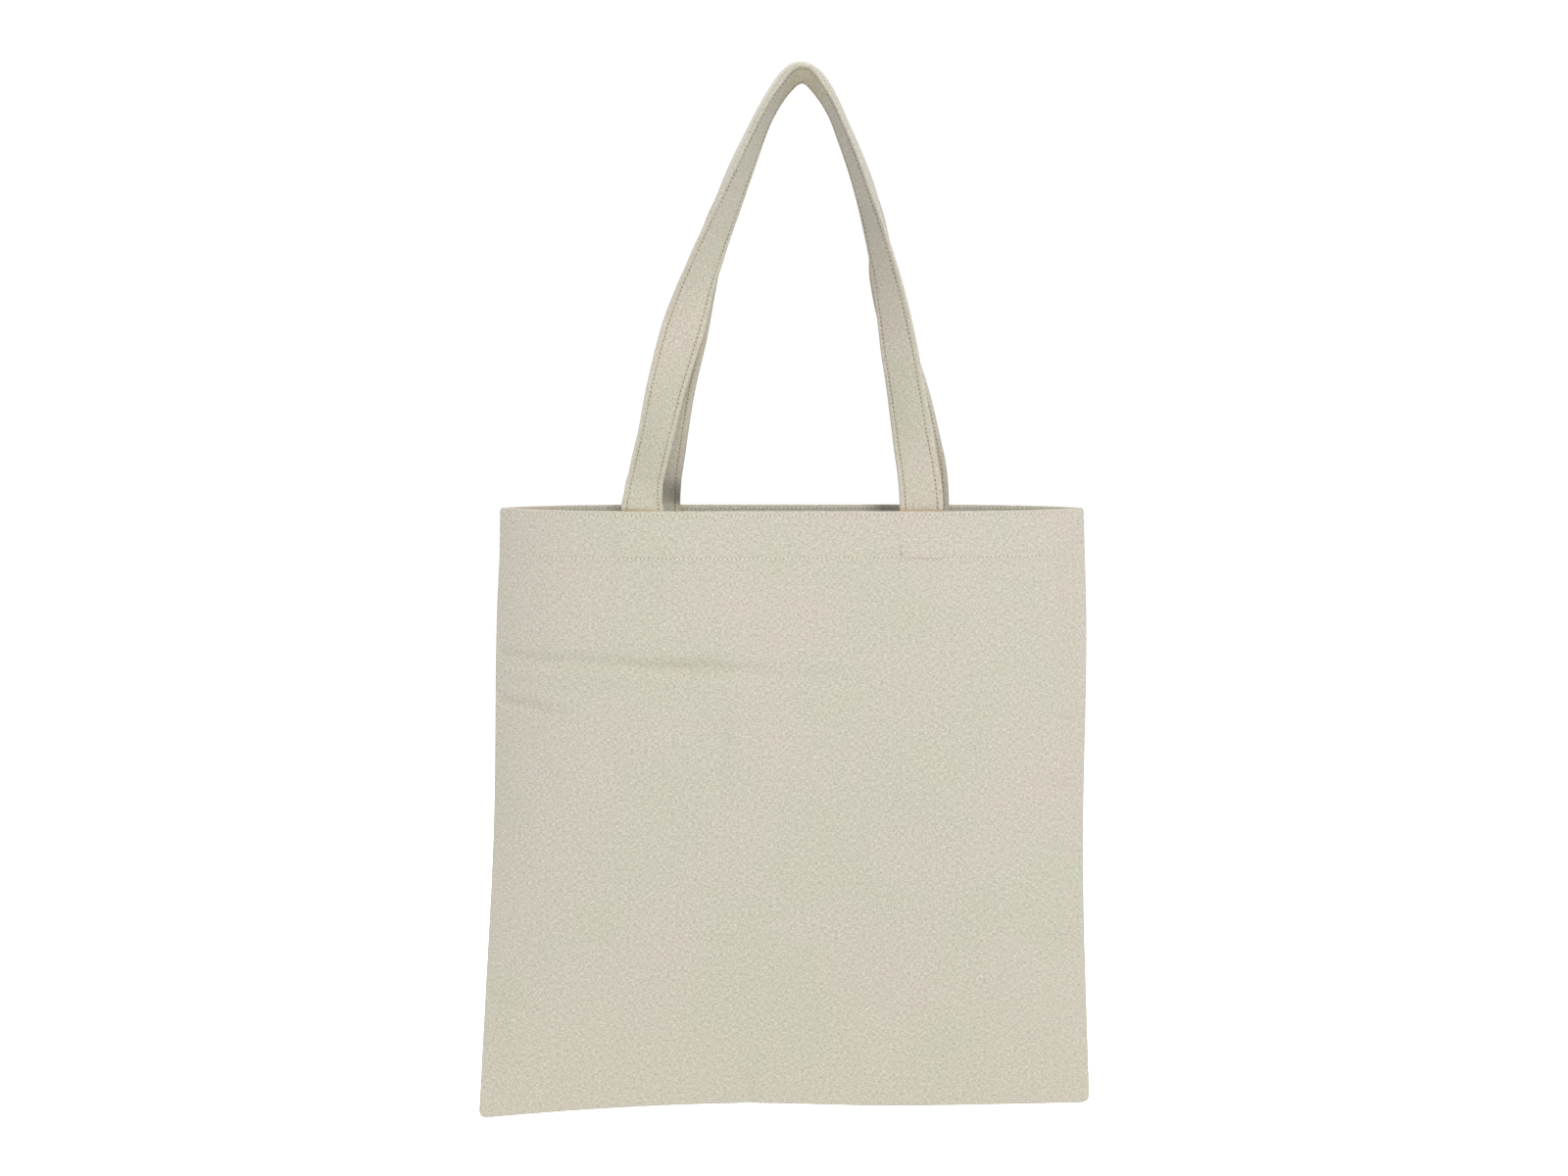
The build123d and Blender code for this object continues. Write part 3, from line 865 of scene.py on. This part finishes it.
def make_rows():
    """The two rows of stitches round the hem. Gives the pieces on the back and on each half of the front."""
    pieces = {"back": [], "left": [], "right": []}
    left, middle, right = SEAM_X["left"] + ROW_END_GAP, RIM_CENTRE_X, SEAM_X["right"] - ROW_END_GAP
    for row, drop in (("rim", RIM_ROW_DROP), ("hem", HEM_ROW_DROP)):
        z = RIM_Z - drop
        back = rows_object(f"back_{row}_stitches", "back", left, right, THREAD, z)
        for piece in back:
            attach(piece, "bag_back")
        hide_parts(f"back_{row}_stitch")
        pieces["back"] += back
        for half, x_from, x_to in (("left", left, middle), ("right", middle, right)):
            front = rows_object(f"front_{row}_stitches_{half}", "front", x_from, x_to, THREAD, z)
            for piece in front:
                lean_out(piece)
            pieces[half] += front
        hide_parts(f"front_{row}_stitch")
    return pieces


def make_handles():
    """Both handles with their thread."""
    for side in ("front", "back"):
        strap = make_strap(side, WEBBING)
        stitches, holes = strap_stitches(side, STRAP_THREAD)
        for piece in (strap, stitches, holes):
            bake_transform(piece)
        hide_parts(f"{side}_handle_strap", f"{side}_handle_end_left", f"{side}_handle_end_right")
        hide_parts(f"{side}_handle_outer_stitch", f"{side}_handle_inner_stitch")
        tacks = make_tacks(side, TACK)
        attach(tacks, f"bag_{side}")
        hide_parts(f"{side}_tack_left", f"{side}_tack_right")


back_canvas = make_back()
front_canvas = make_front()
row_pieces = make_rows()
make_handles()
overlock = make_overlock(OVERLOCK)
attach(overlock, "bag_back")
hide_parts("overlock_left", "overlock_right", "overlock_bottom")


# ---------------------------------------------------------------- room, light and camera

# In metres
FLOOR_Z = -1.1
FLOOR_REACH = 15
CAMERA_PLACE = (-0.012, -1.5912, -0.1366)
CAMERA_TILT = 84
LIT_PLACE = (0, 0, -0.35)


def make_floor():
    """A white floor a good way under the bag."""
    mesh = bpy.data.meshes.new("floor")
    corners = [(x * FLOOR_REACH, y * FLOOR_REACH, FLOOR_Z) for x, y in ((-1, -1), (1, -1), (1, 1), (-1, 1))]
    mesh.from_pydata(corners, [], [(0, 1, 2, 3)])
    material = bpy.data.materials.new("floor")
    material.use_nodes = True
    material.node_tree.nodes["Principled BSDF"].inputs["Base Color"].default_value = (1, 1, 1, 1)
    material.node_tree.nodes["Principled BSDF"].inputs["Roughness"].default_value = 1.0
    mesh.materials.append(material)
    floor = bpy.data.objects.new("floor", mesh)
    bpy.context.scene.collection.objects.link(floor)


def make_light(name, place, size, power):
    """A soft square light that faces the bag."""
    lamp = bpy.data.lights.new(name, "AREA")
    lamp.size, lamp.energy = size, power
    obj = bpy.data.objects.new(name, lamp)
    obj.location = place
    bpy.context.scene.collection.objects.link(obj)
    away = np.array(place) - np.array(LIT_PLACE)
    obj.rotation_euler = (math.acos(away[2] / np.linalg.norm(away)), 0, math.atan2(away[0], -away[1]))


make_floor()
make_light("key", (0.65, -2.4, 2.0), 0.7, 114)
make_light("far_key", (-0.6, 2.5, 2.3), 1.2, 110)

world = bpy.data.worlds.new("studio")
bpy.context.scene.world = world
world.use_nodes = True
world.node_tree.nodes["Background"].inputs["Color"].default_value = (1, 1, 1, 1)
world.node_tree.nodes["Background"].inputs["Strength"].default_value = 1.05

camera = bpy.data.objects.new("camera", bpy.data.cameras.new("camera"))
camera.data.lens = 60
camera.data.sensor_width = 36
camera.location = CAMERA_PLACE
camera.rotation_euler = (math.radians(CAMERA_TILT), 0, 0)
bpy.context.scene.collection.objects.link(camera)
bpy.context.scene.camera = camera
bpy.context.scene.view_settings.view_transform = "Standard"
